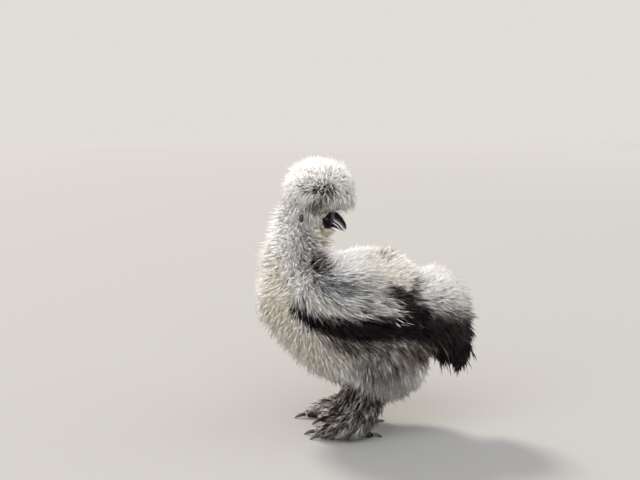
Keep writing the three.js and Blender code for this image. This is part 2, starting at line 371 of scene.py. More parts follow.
# the neck runs into the breast, the back into the cushion and the wings into the back with no ledge
collar = near(at, (2, 152, 16)) * (1 - step(at[:, 0], -80, -55))
saddle = near(at, (0, 53, 14), (2, 166, 16))
shoulder = near(aside, (0, -20, 30), (2, 180, 9), (1, 40, 8))
joint = np.maximum(np.maximum(collar, saddle), shoulder)
outline += scaled(soften(outline, JOINT_ROUNDS, 0.5) - outline, joint)
print({node: int((region == i).sum()) for i, node in enumerate(FLESH)})

# %% Depth of the coat
# mm from the skin to the tips of the fluff over it
DEPTH = {
    "head": 5, "neck": 12, "trunk": 9, "crest": 13, "cushion": 15, "tail": 13,
    "wing": 6, "thigh": 10, "shank": 5, "foot": 0.3, "foot_feathers": 7,
}


def part_of(node):
    return node.replace("_left", "").replace("_right", "")


PARTS = [part_of(node) for node in FLESH]
LOBE_REACH = 7.0
DEPTH_ROUNDS = 14
place = to_bird(outline)
depth = np.array([DEPTH[PARTS[i]] for i in region], float)
is_head = np.array([PARTS[i] == "head" for i in region])
# the face is bare from behind the eyes to the bill, and from the brow to the chin
bare = step(place[:, 0], -49.5, -46) * (1 - step(place[:, 2], 229.5, 232))
bare *= step(place[:, 2], 211.5, 213.5)
bare *= 1 - step(np.abs(place[:, 1]), 15, 18)
depth = soften(depth, DEPTH_ROUNDS)
depth = depth * (1 - bare) * (1 - 0.9 * is_head * step(place[:, 0], -58, -46))
by_lobe = np.zeros(len(place))
for side in SIDES:
    from_lobe = np.linalg.norm(place - to_bird(centre_of("earlobe_" + side)), axis=1)
    by_lobe = np.maximum(by_lobe, np.exp(-(from_lobe / LOBE_REACH) ** 2))
depth *= 1 - 0.85 * by_lobe

# %% From the outline in to the skin
inner = outline.copy()
outline_tree = BVHTree.FromPolygons(place.tolist(), [tuple(f.vertices) for f in skin.data.polygons])
STAGES = 12
SOFT_DEPTH = 8.0  # mm
# sharp edges of the outline would fold over on the way in, so the skin is smoothed under deep fluff
loose = np.clip(depth / SOFT_DEPTH, 0, 1) * (1 - by_lobe ** 0.5)
for _ in range(STAGES):
    set_corners(skin.data, inner)
    inner = inner - scaled(unit(soften(normals(skin.data), 5)), depth * MM / STAGES)
    inner += scaled(soften(inner, 4, 0.5) - inner, loose)
inner[:, 2] = inner[:, 2].clip(0)
set_corners(skin.data, inner)
depth = np.array([outline_tree.find_nearest(Vector(p))[3] for p in to_bird(inner)])
print("the coat is", depth.min().round(1), "to", depth.max().round(1), "mm deep")

# %% [markdown]
# ## The lie of the coat
# Feathers point away from the bill, backwards along the body and down the legs. Each part gets a
# simple direction of its own, and averaging along the skin blends them where parts meet.

# %% Directions
CREST_ROOT = np.array([-42.0, 0.0, 242.0])  # the crest fans out from the crown
CREST_FALL = 40.0  # how strongly its lower rim hangs, in mm
CUSHION_ROOT = np.array([40.0, 0.0, 140.0])  # the saddle fans up and back from the loins
NECK_AXIS = -68.0  # the neck's feathers part to front and back here
LIE_ROUNDS = 10


def columns(*values):
    """Numbers or arrays side by side, as the columns of one array."""
    return np.stack(np.broadcast_arrays(*values), 1)


def lie_of(part, p):
    """The way the feathers of a part point, for places p on it."""
    x, y, z = p.T
    side = np.sign(y)
    if part == "crest":
        return p - CREST_ROOT - columns(0.0, 0.45 * y, CREST_FALL * (1 - step(z, 238, 262)))
    if part == "head":
        return columns(-0.75, 0.35 * side, -0.5)
    if part == "neck":
        return columns(0.016 * (x - NECK_AXIS), 0.25 * side, -1.0)
    if part == "cushion":
        return p - CUSHION_ROOT - columns(0.0, 0.6 * y, 0.0)
    if part == "tail":
        back = step(z, 88, 112) * (1 - step(x, 84, 108))
        return columns(0.05 + 0.5 * back, 0.12 * side, -1.0)
    if part == "wing":
        return columns(1.0, 0.0, -0.25 - 1.1 * (1 - step(x, -72, -18)))
    if part == "thigh":
        return columns(0.3 + 0.35 * step(x, -5, 45), 0.1 * side, -1.0)
    if part == "shank":
        return columns(-0.15, 0.35 * side, -1.0)
    if part in ("foot", "foot_feathers"):
        return columns(-1.0, 0.5 * side, -0.35)
    front = 1 - step(x, -85, -30)
    top = step(z, 150, 180)
    return columns(1 - 1.1 * front, 0.0, -(0.45 + 0.9 * front) * (1 - top) + 0.25 * top)


place = to_bird(inner)
lie = np.zeros_like(place)
for number, part in enumerate(PARTS):
    here = region == number
    way = lie_of(part, place[here])
    lie[here] = way / np.linalg.norm(way, axis=1, keepdims=True)
lie = soften(lie, LIE_ROUNDS)
print("the mean lie of the coat is", lie.mean(0).round(2))

# %% [markdown]
# ## Markings
# White over the crest, neck and back, cream down the breast, slate and grey on the shoulder and
# wing, a black band along the wing's lower edge, a black tail under a silver cushion, and brown-grey
# legs. Some patches are partly painted light and shade: the slate of the shoulder is partly the neck's
# bluish shadow, the dark under the wing's band is partly its shade, the creases by the cushion are
# painted shade, and the lower belly's warmth is partly light bounced from the floor. Each patch is a
# soft shape in the side view, in millimetres. Skin and coat read the same three values: tone (0
# white, 1 black), warmth (above 0 cream, below 0 blue-grey) and mottling.

# %% Patches of colour
def patch(p, x, z, long, high, tilt=0.0):
    """1 in the middle of an ellipse in the side view, falling off softly to 0 outside it."""
    turn = math.radians(tilt)
    a = (p[:, 0] - x) * math.cos(turn) + (p[:, 2] - z) * math.sin(turn)
    b = -(p[:, 0] - x) * math.sin(turn) + (p[:, 2] - z) * math.cos(turn)
    return 1 - step(np.hypot(a / long, b / high), 0.55, 1.25)


def off_line(p, line, width):
    """How far places lie from a bent line in the side view, over the line's width at that place."""
    best = np.full(len(p), 99.0)
    for (x0, z0), (x1, z1), w0, w1 in zip(line, line[1:], width, width[1:]):
        run = np.array([x1 - x0, z1 - z0])
        t = np.clip(((p[:, 0] - x0) * run[0] + (p[:, 2] - z0) * run[1]) / (run @ run), 0, 1)
        gap = np.hypot(p[:, 0] - x0 - t * run[0], p[:, 2] - z0 - t * run[1])
        best = np.minimum(best, gap / (w0 + t * (w1 - w0)))
    return best


def band(p, line, width):
    """1 along a bent line in the side view, 0 further away than its width."""
    return 1 - step(off_line(p, line, width), 0.65, 1.2)


# lines of the side view, and how wide each is at its points
WING_BAND = [(-74, 139), (-63, 130), (-50, 124), (-33, 121), (-6, 119), (25, 120), (50, 121)]
WING_BAND_WIDTH = [4, 6.5, 8.5, 10.5, 12, 14, 17]
# the notch between the wing's rear and the cushion, where shade is painted
WING_NOTCH = [(22, 157), (33, 152), (42, 142), (48, 128)]
WING_NOTCH_WIDTH = [5, 7, 8, 11]
# the crease between back and cushion, where shade is painted
BACK_LINE = [(52, 173), (49, 163), (45, 152)]
BACK_LINE_WIDTH = [2, 3.5, 5]


BASE_TONE, BASE_WARMTH, BASE_MOTTLE = 0.03, 0.06, 0.08


def markings(p):
    """Tone, warmth and mottling at places p, in mm."""
    x, y, z = p[:, 0], p[:, 1], p[:, 2]
    side = step(np.abs(y), 10, 24)
    tone = np.full(len(p), BASE_TONE)
    warmth = np.full(len(p), BASE_WARMTH)
    mottle = np.full(len(p), BASE_MOTTLE)
    over_thigh = 1 - (1 - step(z, 78, 90)) * (1 - step(x, 64, 74))
    tail_top = z + 0.18 * (x - 52)
    tail = over_thigh * step(x, 50, 60) * (1 - step(tail_top, 128, 138))
    leg = 1 - step(z + 0.8 * np.maximum(x - 14, 0), 44, 57)
    far_toes = step(y, 0, 10) * (1 - step(z, 16, 24)) * (1 - step(x, -30, -12))
    # tone, warmth, mottling, shape
    spots = [
        # crest, cheek and brow
        (0.01, 0.30, 0.06, side * patch(p, -64, 236, 15, 18)),
        (0.48, 0.45, 0.80, side * patch(p, -57, 254, 12, 8, -10)),
        (0.60, 0.05, 0.95, side * patch(p, -39, 248.5, 11, 11)),
        # cushion, and the top of the crest
        (0.20, -0.05, 0.35, patch(p, 85, 152, 34, 28)),
        (0.12, 0.10, 0.40, patch(p, -52, 272, 40, 16)),
        (0.74, 0.25, 0.90, side * patch(p, -51, 233, 8, 11, -25)),
        (0.05, 0.55, 0.05, side * patch(p, -33, 231, 9, 5)),
        # neck, throat and the dark of the nape, partly painted shadow of the neck on the shoulder
        (0.42, 0.10, 0.70, side * patch(p, -57, 206, 8, 12, 20)),
        (0.18, 0.75, 0.30, patch(p, -42, 205, 12, 12)),
        (0.34, -0.05, 0.40, side * patch(p, -54, 188, 18, 20, -20)),
        # painted shadow: the neck's bluish shade on the shoulder, over dark grey feathers
        (0.84, -0.20, 0.80, side * patch(p, -42, 180, 17, 11, -35)),
        # silver and slate of the shoulder and wing, the slate partly painted shadow of the neck
        (0.19, -0.05, 1.25, side * patch(p, -24, 148, 58, 28)),
        # painted shadow: the neck's bluish shade on the shoulder, over slate feathers
        (0.50, -0.75, 0.45, side * patch(p, -28, 161, 25, 9, -8)),
        (0.14, 0.25, 0.45, side * patch(p, -44, 140, 22, 9, -30)),
        (0.30, 0.05, 0.75, side * patch(p, 14, 158, 24, 12, -12)),
        # cream of the back and breast; the lower belly's warmth is partly painted light bounced from the
        # floor
        (0.03, 0.40, 0.30, patch(p, 24, 174, 30, 13, -22)),
        (0.05, 0.55, 0.05, patch(p, -94, 148, 22, 44, 8)),
        (0.34, 0.15, 0.90, patch(p, 16, 192, 20, 8, -22)),
        (0.04, 0.80, 0.05, patch(p, -90, 134, 18, 28, 8)),
        # lower belly: cream, warmed further by painted light bounced from the floor
        (0.02, 0.60, 0.06, patch(p, -64, 92, 46, 28, -32)),
        # grey-brown of the belly and thighs, darkest under the wing's band, partly as painted shade
        # tan of the lower belly's side, partly painted warm light bounced from the floor
        (0.10, 0.55, 0.25, side * patch(p, -38, 92, 26, 22, -30)),
        # painted shade under the wing's band, over brown-grey feathers
        (0.70, 0.35, 0.40, side * patch(p, -16, 103, 30, 9, -4)),
        (0.72, 0.25, 0.60, patch(p, 4, 97, 38, 14)),
        (0.58, 0.10, 0.70, patch(p, 14, 76, 32, 22)),
        (0.30, -0.20, 0.30, patch(p, 38, 54, 30, 13)),
        (0.76, 0.50, 0.45, patch(p, 52, 94, 20, 18)),
        # painted shade in the crease between back and cushion, and the black band of the wing
        (0.75, 0.20, 0.50, side * band(p, BACK_LINE, BACK_LINE_WIDTH)),
        (1.20, -0.05, 0.15, side * band(p, WING_BAND, WING_BAND_WIDTH)),
        # painted shade in the notch between the wing's rear and the cushion
        (1.15, -0.05, 0.45, side * band(p, WING_NOTCH, WING_NOTCH_WIDTH)),
    ]
    over = [
        # tail, the brown fringe under it, legs, and the paler far toes
        (1.14, 0.05, 0.34, tail),
        (0.80, 0.45, 0.60, patch(p, 64, 88, 13, 11)),
        (0.80, 0.30, 0.95, leg),
        (0.52, 0.12, 0.95, far_toes),
    ]
    for number, (strong, warm, mixed, shape) in enumerate(spots + over):
        if number == len(spots):
            # the cushion darkens towards the tail
            shade = over_thigh * step(x, 50, 58) * (1 - step(tail_top, 134, 154))
            tone += 0.5 * shade * (1 - tone)
            mottle += 0.4 * shade
        tone += shape * (strong - tone)
        warmth += shape * (warm - warmth)
        mottle += shape * (mixed - mottle)
    return tone, warmth, mottle


# %% [markdown]
# ## Finer skin on the face
# The eyelids, and the folds of bare skin round them, are finer than the rest of the skin. Lids could
# be pieces of their own, but would show a seam. So the skin's faces near the eyes are split, then
# shaped: a lid rises round each eyeball and hugs it, and low folds run round it.

# %% Values carried on the skin
def give(mesh, name, values):
    """Stores one number for each point of a mesh, for its material to read."""
    attribute = mesh.attributes.get(name) or mesh.attributes.new(name, "FLOAT", "POINT")
    attribute.data.foreach_set("value", np.asarray(values, np.float32))


bare_foot = np.array([PARTS[i] == "foot" for i in region], float)
give(skin.data, "depth", depth)
give(skin.data, "bare", np.maximum(bare, soften(bare_foot, 2)))
give(skin.data, "region", region)
for axis, name in enumerate(("lie_x", "lie_y", "lie_z")):
    give(skin.data, name, lie[:, axis])


def refine(reach):
    """Splits the faces of the skin that lie within reach of an eye, in mm."""
    take(skin)
    bpy.ops.object.mode_set(mode="EDIT")
    bpy.ops.mesh.select_all(action="DESELECT")
    bpy.ops.object.mode_set(mode="OBJECT")
    middles = to_bird(read(skin.data.polygons, "center", 3))
    from_eye = np.linalg.norm(np.abs(middles) - np.abs(EYE_PLACE + [0, EYE_SIDE, 0]), axis=1)
    skin.data.polygons.foreach_set("select", from_eye < reach)
    bpy.ops.object.mode_set(mode="EDIT")
    bpy.ops.mesh.subdivide(number_cuts=1, smoothness=0)
    bpy.ops.object.mode_set(mode="OBJECT")


for reach in (17, 11, 7.5):
    refine(reach)
print("split finer near the eyes, the skin has", len(skin.data.vertices), "points")

# %% Eyelids and folds
EYE_RADIUS = 5.2
EYE_FLATNESS = 0.9
OPENING = 3.6  # half of the gap between the lids
LID = 0.65  # how far the lid stands over the ball
TUCK = 0.9  # how far the skin inside the gap goes under the ball
FOLDS = 1.15  # from one low fold of the skin to the next
points = to_bird(corners(skin.data))
across = points[:, 0] - EYE_PLACE[0]
upward = points[:, 2] - EYE_PLACE[2]
# the gap is a little wider than high, and slants
ring = np.hypot(across * 0.94 + upward * 0.1, upward * 1.14)
by_eye = (np.abs(points[:, 1]) > 5) & (ring < 12)
out = np.abs(points[:, 1])
ball = EYE_SIDE + EYE_FLATNESS * np.sqrt((EYE_RADIUS ** 2 - ring ** 2).clip(0))
over_ball = np.maximum(ball + LID, out)
under_ball = np.minimum(ball - TUCK, out)
rim = step(ring, OPENING - 0.3, OPENING + 0.15)
shaped = under_ball + rim * (over_ball - under_ball)
shaped += 0.18 * np.exp(-((ring - OPENING - 0.45) / 0.4) ** 2)
shaped += 0.14 * np.cos(TURN * ring / FOLDS) * np.exp(-((ring - 6.6) / 1.6) ** 2)
share = 1 - step(ring, 5.6, 8.6)
points[by_eye, 1] = (np.sign(points[:, 1]) * (out + share * (shaped - out)))[by_eye]
set_corners(skin.data, to_row(points))
skin.data.polygons.foreach_set("use_smooth", np.ones(len(skin.data.polygons), bool))
tone, warmth, mottle = markings(points)
give(skin.data, "tone", tone)
give(skin.data, "warmth", warmth)
# the bill's root is ringed by a paler band
give(skin.data, "band", step(points[:, 0], -36.8, -35.4) * step(points[:, 2], 205, 206))
print("lids and folds:", int(by_eye.sum()), "points")

# %% [markdown]
# ## A map of the skin
# Each tuft needs a small place of its own on a flat map of the skin. Smart UV Project unwraps the
# skin by its own shape.

# %% Unwrap
skin.data.uv_layers.new(name="OFBake")
edit(skin, bpy.ops.uv.smart_project, angle_limit=math.radians(66), island_margin=0.002, area_weight=0.6)
print("the skin's map has", len(skin.data.uv_layers["OFBake"].data), "corners")

# %% [markdown]
# ## The finish of the skin
# Silkie skin is blue-black. Bare on the face and toes, it is matt with fine pimples; under the coat
# it is down, and takes the markings of the feathers that grow there, darkened as painted shade under
# the fluff. One material does both, with values stored on the skin, so that no seam shows where the
# coat ends.

# %% The markings as a colour
TONES = [(0.0, "#faf8f3"), (0.22, "#cbc6be"), (0.45, "#8f8982"), (0.7, "#3f3a38"), (1.0, "#070608")]
# cream of the down, and the warm tint of the painted light bounced from the floor onto the belly
CREAM_AND_BOUNCE_TINT = "#f1e3c4"
# blue-grey of slate feathers, and the bluish tint of the painted shadow of the neck on the shoulder
SLATE_AND_SHADOW_TINT = "#a6b9ca"


def plumage_colour(tree):
    """White to black by tone, tinted by warmth: the colour that skin and coat share."""
    tone, warm = [
        add_node(tree, "ShaderNodeAttribute", attribute_name=name).outputs["Fac"]
        for name in ("tone", "warmth")
    ]
    turned = {0: warm, 1: -1.0}
    cold = add_node(tree, "ShaderNodeMath", turned, operation="MULTIPLY", use_clamp=True).outputs[0]
    ramp = add_node(tree, "ShaderNodeValToRGB", {"Fac": tone})
    set_stops(ramp.color_ramp, TONES)
    plain = ramp.outputs["Color"]
    cream = add_node(tree, "ShaderNodeMix", {FACTOR: warm, FIRST: plain, SECOND: linear(CREAM_AND_BOUNCE_TINT)}, **MULTIPLY)
    tinted = {FACTOR: cold, FIRST: cream.outputs[MIXED], SECOND: linear(SLATE_AND_SHADOW_TINT)}
    return add_node(tree, "ShaderNodeMix", tinted, **MULTIPLY).outputs[MIXED]


# %% Skin material
skin_material, tree, shader = new_material(
    "bare mulberry skin and down", {"Roughness": 0.6, "Specular IOR Level": 0.08}
)
object_place = add_node(tree, "ShaderNodeTexCoord").outputs["Object"]
pimples = add_node(tree, "ShaderNodeTexVoronoi", {"Vector": object_place, "Scale": 1 / (0.9 * MM)})
cloudy = {"Vector": object_place, "Scale": 1 / (3 * MM), "Detail": 4.0}
blotches = add_node(tree, "ShaderNodeTexNoise", cloudy)
ramp = add_node(tree, "ShaderNodeValToRGB", {"Fac": blotches.outputs["Fac"]})
set_stops(ramp.color_ramp, [(0.3, "#080609"), (0.55, "#0f0b10"), (0.75, "#171116")])
mulberry = ramp.outputs["Color"]
is_bare = add_node(tree, "ShaderNodeAttribute", attribute_name="bare").outputs["Fac"]
is_band = add_node(tree, "ShaderNodeAttribute", attribute_name="band").outputs["Fac"]
# painted shade: the down is the feathers' colour made darker, as the shade deep under the fluff
shaded = {FACTOR: 1.0, FIRST: plumage_colour(tree), SECOND: linear("#b8b3ae")}
down = add_node(tree, "ShaderNodeMix", shaded, **MULTIPLY).outputs[MIXED]
paler = {FACTOR: 0.38, FIRST: mulberry, SECOND: linear("#56616a")}
bill_band = add_node(tree, "ShaderNodeMix", paler, **BLEND).outputs[MIXED]
ringed = {FACTOR: is_band, FIRST: mulberry, SECOND: bill_band}
face = add_node(tree, "ShaderNodeMix", ringed, **BLEND).outputs[MIXED]
skin_colour = add_node(tree, "ShaderNodeMix", {FACTOR: is_bare, FIRST: down, SECOND: face}, **BLEND)
tree.links.new(skin_colour.outputs[MIXED], shader.inputs["Base Color"])
pimpled = {"Height": pimples.outputs["Distance"], "Strength": 0.35, "Distance": 0.3 * MM}
relief = add_node(tree, "ShaderNodeBump", pimpled)
tree.links.new(relief.outputs["Normal"], shader.inputs["Normal"])
skin.data.materials.append(skin_material)
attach(skin, "root")
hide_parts(*FLESH)
print("the skin stands for", len(FLESH), "solids")

# %% [markdown]
# ## Eyes
# A silkie's eye is nearly black, with a dark brown iris and a wet cornea that catches the light. A
# ball with a clear coat over a painted iris gives that. It sits where the solid eye sits.

# %% Eye material
CORNEA = {"Coat Weight": 0.16, "Coat Roughness": 0.03}
eye_material, tree, shader = new_material(
    "wet dark brown eye", {"Roughness": 0.25, "Specular IOR Level": 0.15, **CORNEA}
)
object_place = add_node(tree, "ShaderNodeTexCoord").outputs["Object"]
centred = {0: object_place, 1: Vector(eye_middle)}
from_axis = add_node(tree, "ShaderNodeVectorMath", centred, operation="SUBTRACT").outputs[0]
sideways = {0: from_axis, 1: (1, 0, 1)}
side_view = add_node(tree, "ShaderNodeVectorMath", sideways, operation="MULTIPLY").outputs[0]
radius = add_node(tree, "ShaderNodeVectorMath", {0: side_view}, operation="LENGTH").outputs["Value"]
share = add_node(tree, "ShaderNodeMath", {0: radius, 1: EYE_RADIUS * MM}, operation="DIVIDE")
iris = add_node(tree, "ShaderNodeValToRGB", {"Fac": share.outputs[0]})
set_stops(iris.color_ramp, [(0.4, "#020202"), (0.46, "#0f0907"), (0.62, "#140c08"), (0.74, "#050404")])
tree.links.new(iris.outputs["Color"], shader.inputs["Base Color"])

# %% Eyes
CORNEA_RISE, CORNEA_RADIUS = 0.35, 2.6  # mm
for side in SIDES:
    node = "eye_" + side
    bpy.ops.mesh.primitive_uv_sphere_add(segments=48, ring_count=32, radius=EYE_RADIUS * MM)
    eye = bpy.context.active_object
    eye.name = "eyeball_" + side
    ball = corners(eye.data)[:, [0, 2, 1]]
    ball[:, 1] *= EYE_FLATNESS
    cornea = np.exp(-(np.hypot(ball[:, 0], ball[:, 2]) / (CORNEA_RADIUS * MM)) ** 4)
    ball[:, 1] += np.sign(ball[:, 1]) * CORNEA_RISE * MM * cornea
    low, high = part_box(node)
    set_corners(eye.data, ball + np.array((low + high) / 2))
    eye.location = (0, 0, 0)
    edit(eye, bpy.ops.mesh.normals_make_consistent, inside=False)
    bpy.ops.object.shade_smooth()
    eye.data.materials.append(eye_material)
    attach(eye, "root")
    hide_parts(node)
print("each eyeball is", 2 * EYE_RADIUS, "mm across")

# %% [markdown]
# ## Bill, comb, ear lobes and claws
# These are horn and bare skin with soft edges. Each is a merged copy of its solid, remeshed finely
# and smoothed, so that it keeps the solid's place and size and loses its flat faces.

# %% Smooth copies
def smooth_copy(node, name, voxel, rounds, swell=0.0):
    """A fine, rounded copy of a solid. swell makes up for what the smoothing takes off, in mm."""
    piece = merged_copy(node, name)
    apply_modifier(piece, "REMESH", mode="VOXEL", voxel_size=voxel * MM, use_smooth_shade=True)
    apply_modifier(piece, "SMOOTH", factor=0.5, iterations=rounds)
    set_corners(piece.data, corners(piece.data) + swell * MM * normals(piece.data))
    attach(piece, "root")
    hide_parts(node)
    return piece


# %% Horn material
def horn_material(name, dark, pale):
    """Horn that runs from dark to pale where the piece's own value "pale" says, with growth lines."""
    material, tree, shader = new_material(name, {"Roughness": 0.3, "Specular IOR Level": 0.08})
    object_place = add_node(tree, "ShaderNodeTexCoord").outputs["Object"]
    paleness = add_node(tree, "ShaderNodeAttribute", attribute_name="pale").outputs["Fac"]
    layers = {"Vector": object_place, "Scale": 1 / (1.6 * MM), "Detail": 5.0}
    growth = add_node(tree, "ShaderNodeTexNoise", layers).outputs["Fac"]
    lines = {"Value": growth, "To Min": 0.6, "To Max": 1.35}
    shade = add_node(tree, "ShaderNodeMapRange", lines).outputs["Result"]
    worn = {FACTOR: paleness, FIRST: linear(dark), SECOND: linear(pale)}
    worn = add_node(tree, "ShaderNodeMix", worn, **BLEND).outputs[MIXED]
    colour = add_node(tree, "ShaderNodeMix", {FACTOR: 1.0, FIRST: worn, SECOND: shade}, **MULTIPLY)
    tree.links.new(colour.outputs[MIXED], shader.inputs["Base Color"])
    bump = add_node(tree, "ShaderNodeBump", {"Height": growth, "Strength": 0.3, "Distance": 0.12 * MM})
    tree.links.new(bump.outputs["Normal"], shader.inputs["Normal"])
    return material


# slate-black horn, polished by use, with a pale tip; the soft highlight along the ridge and the pale
# cutting edges are partly paler horn and partly painted highlight
bill_horn = horn_material("slate bill horn", "#060608", "#d6dbdc")

# %% Bill
NOSTRIL = np.array([-29.0, 4.6, 223.4])
# where the two halves of the bill meet, and the bill's tip, in the side view
GAPE_LINE = [(-37, 222), (-33.5, 219.7), (-31.6, 218.5), (-29.6, 217)]
GAPE_LINE += [(-27.9, 215.5), (-26.3, 213.5), (-25, 211.6), (-22, 208.8)]
GAPE_WIDTH = [1.0] * len(GAPE_LINE)
BILL_TIP = np.array([-21.4, 210.2])


def ridge(value, middle, half_width):
    """1 where a value is at the middle, falling off over the half width."""
    return np.exp(-((value - middle) / half_width) ** 2)


def upper_paleness(p):
    """A pale stripe over the cutting edge and at the tip, with a grey band at the root. The stripe and the
    faint band over it are partly paler horn and partly painted highlight.
    """
    edge = off_line(p, GAPE_LINE, GAPE_WIDTH)
    tip = np.hypot(p[:, 0] - BILL_TIP[0], p[:, 2] - BILL_TIP[1])
    root = 0.13 * (1 - step(p[:, 0], -33.2, -32))
    # partly painted highlight: a lit stripe over the cutting edge and a faint band over it
    stripe = 1.0 * ridge(edge, 1.5, 0.6) + 0.15 * ridge(edge, 2.9, 1.2)
    return np.clip(stripe + 0.6 * ridge(tip, 0, 1.7) + root, 0, 1)


def lower_paleness(p):
    """Dark, with one pale line under the cutting edge, partly paler horn and partly painted highlight."""
    return np.clip(0.9 * ridge(off_line(p, GAPE_LINE, GAPE_WIDTH), 1.2, 0.45), 0, 1)


upper_bill = smooth_copy("bill_upper", "upper_bill", 0.42, 14, 0.25)
horn = to_bird(corners(upper_bill.data))
slit = np.hypot((horn[:, 0] - NOSTRIL[0]) * 0.8 + (horn[:, 2] - NOSTRIL[2]) * 0.5,
                (horn[:, 2] - NOSTRIL[2]) * 1.6 + (horn[:, 0] - NOSTRIL[0]) * 0.6)
horn[:, 1] -= np.sign(horn[:, 1]) * 0.8 * np.exp(-(slit / 1.1) ** 2) * (np.abs(horn[:, 1]) > 2)
set_corners(upper_bill.data, to_row(horn))
lower_bill = smooth_copy("bill_lower", "lower_bill", 0.42, 12, 0.2)
for piece, paleness in ((upper_bill, upper_paleness), (lower_bill, lower_paleness)):
    give(piece.data, "pale", paleness(to_bird(corners(piece.data))))
    piece.data.materials.append(bill_horn)
    print(piece.name, len(piece.data.polygons), "faces")

# %% Comb and lobes
def bare_skin_material(name, dark, light, size):
    """Bare skin with blotches and pimples of the given size in mm."""
    material, tree, shader = new_material(name, {"Roughness": 0.5})
    object_place = add_node(tree, "ShaderNodeTexCoord").outputs["Object"]
    blotches = {"Vector": object_place, "Scale": 1 / (size * 2 * MM), "Detail": 4.0}
    spots = add_node(tree, "ShaderNodeTexNoise", blotches)
    ramp = add_node(tree, "ShaderNodeValToRGB", {"Fac": spots.outputs["Fac"]})
    set_stops(ramp.color_ramp, [(0.3, dark), (0.7, light)])
    tree.links.new(ramp.outputs["Color"], shader.inputs["Base Color"])
    pimples = add_node(tree, "ShaderNodeTexVoronoi", {"Vector": object_place, "Scale": 1 / (size * MM)})
    height = pimples.outputs["Distance"]
    bump = add_node(tree, "ShaderNodeBump", {"Height": height, "Strength": 0.5, "Distance": 0.3 * MM})
    tree.links.new(bump.outputs["Normal"], shader.inputs["Normal"])
    return material


# a walnut comb: lumpy, lilac-grey mulberry
comb = smooth_copy("comb", "walnut_comb", 0.4, 6, 0.2)
lumps = corners(comb.data)
LUMP_SIZE, LUMP_HEIGHT = 1.7 * MM, 0.7 * MM
set_corners(comb.data, lumps + scaled(normals(comb.data), LUMP_HEIGHT * noise_at(lumps, LUMP_SIZE)))
comb.data.materials.append(bare_skin_material("mulberry comb skin", "#231a21", "#5c4955", 0.8))
# ear lobes of smooth dark turquoise skin
lobe_material = bare_skin_material("blue lobe skin", "#080b11", "#19222d", 0.6)
for side in SIDES:
    lobe = smooth_copy("earlobe_" + side, "lobe_" + side, 0.35, 6, 0.15)
    lobe.data.materials.append(lobe_material)
print("comb:", len(comb.data.polygons), "faces, and a lobe:", len(lobe.data.polygons))

# %% Claws
claw_material = horn_material("grey-brown claw horn", "#191513", "#6f665d")
for side in SIDES:
    for toe in range(1, 6):
        claw = smooth_copy(f"claw_{side}_{toe}", f"nail_{side}_{toe}", 0.35, 5, 0.12)
        along = corners(claw.data)[:, 0]
        give(claw.data, "pale", 0.7 * (along.max() - along) / np.ptp(along))
        claw.data.materials.append(claw_material)
print("claws: five on each foot")

# %% [markdown]
# ## The coat
# A silkie's feather is a spray of fine soft strands that cling together at the tip. Hair curves could
# show that, but few programs read them, so a tuft here is two to five strands, each a closed,
# tapering spike with three sides. A tuft starts on the skin, follows the lie along it, and ends near
# the outline. Arrays hold all tufts of a part at once, because over two hundred thousand strands are
# too many to place one by one.

# %% The skin as the coat sees it
skin.data.calc_loop_triangles()
triangles = read(skin.data.loop_triangles, "vertices", 3, np.int32)
triangle_loops = read(skin.data.loop_triangles, "loops", 3, np.int32)
skin_map = read(skin.data.uv_layers["OFBake"].data, "uv", 2)
skin_place = to_bird(corners(skin.data))
skin_normal = normals(skin.data)
carried = {name: read(skin.data.attributes[name].data, "value") for name in
           ("depth", "bare", "region", "lie_x", "lie_y", "lie_z")}
skin_lie = columns(carried["lie_x"], carried["lie_y"], carried["lie_z"])
skin_tree = BVHTree.FromPolygons(skin_place.tolist(), triangles.tolist())
a, b, c = (skin_place[triangles[:, k]] for k in range(3))
triangle_area = 0.5 * np.linalg.norm(np.cross(b - a, c - a), axis=1)
triangle_region = carried["region"].round()[triangles[:, 0]]
triangle_bare = carried["bare"][triangles].mean(1)
spot_x, spot_y, spot_z = skin_place[triangles].mean(1).T
print("skin:", len(triangles), "triangles,", round(triangle_area.sum() / 100), "square cm")


def on_skin(p):
    """The nearest places on the skin, with the triangle that each lies in."""
    found = [skin_tree.find_nearest(Vector(q)) for q in p]
    return np.array([f[0] for f in found]), np.array([f[2] for f in found])


def surface(index):
    """Normal, lie and coat depth at triangles of the skin."""
    corner = triangles[index]
    return unit(skin_normal[corner].mean(1)), skin_lie[corner].mean(1), carried["depth"][corner].mean(1)


# %% Roots
PLANTED_BELOW = 0.8  # barer skin than this carries no tufts


def on_part(*parts, bare=False):
    """Marks the triangles of these parts of the skin, the bare ones only if bare is set."""
    here = np.isin(triangle_region, [i for i, part in enumerate(PARTS) if part in parts])
    return here & ((triangle_bare < PLANTED_BELOW) | bare)


def roots(count, where):
    """Places on the marked triangles, spread evenly over their area."""
    chosen = np.flatnonzero(where)
    sums = np.cumsum(triangle_area[chosen])
    wanted = (np.arange(count) + rng.random(count)) / count * sums[-1]
    index = chosen[np.searchsorted(sums, wanted).clip(0, len(chosen) - 1)]
    u, v = rng.random((2, count))
    flip = u + v > 1
    u[flip], v[flip] = 1 - u[flip], 1 - v[flip]
    weights = np.stack([1 - u - v, u, v], 1)
    normal, way, deep = surface(index)
    return {
        "root": (skin_place[triangles[index]] * weights[:, :, None]).sum(1),
        "map": (skin_map[triangle_loops[index]] * weights[:, :, None]).sum(1),
        "normal": normal,
        "way": way,
        "depth": deep,
    }


# %% Shared by all tufts
# the bare face and bill in the side view: the middle and half size of a rounded box
FACE_MIDDLE = (-33.0, 220.5)
FACE_SIZE = (14.6, 8.5)
# a wisp is a tuft that stands out over the others, and its tip spreads this much of the usual
WISP_TIGHT = 0.25
UNEVEN = 7.0  # mm, over which the height of the tufts varies


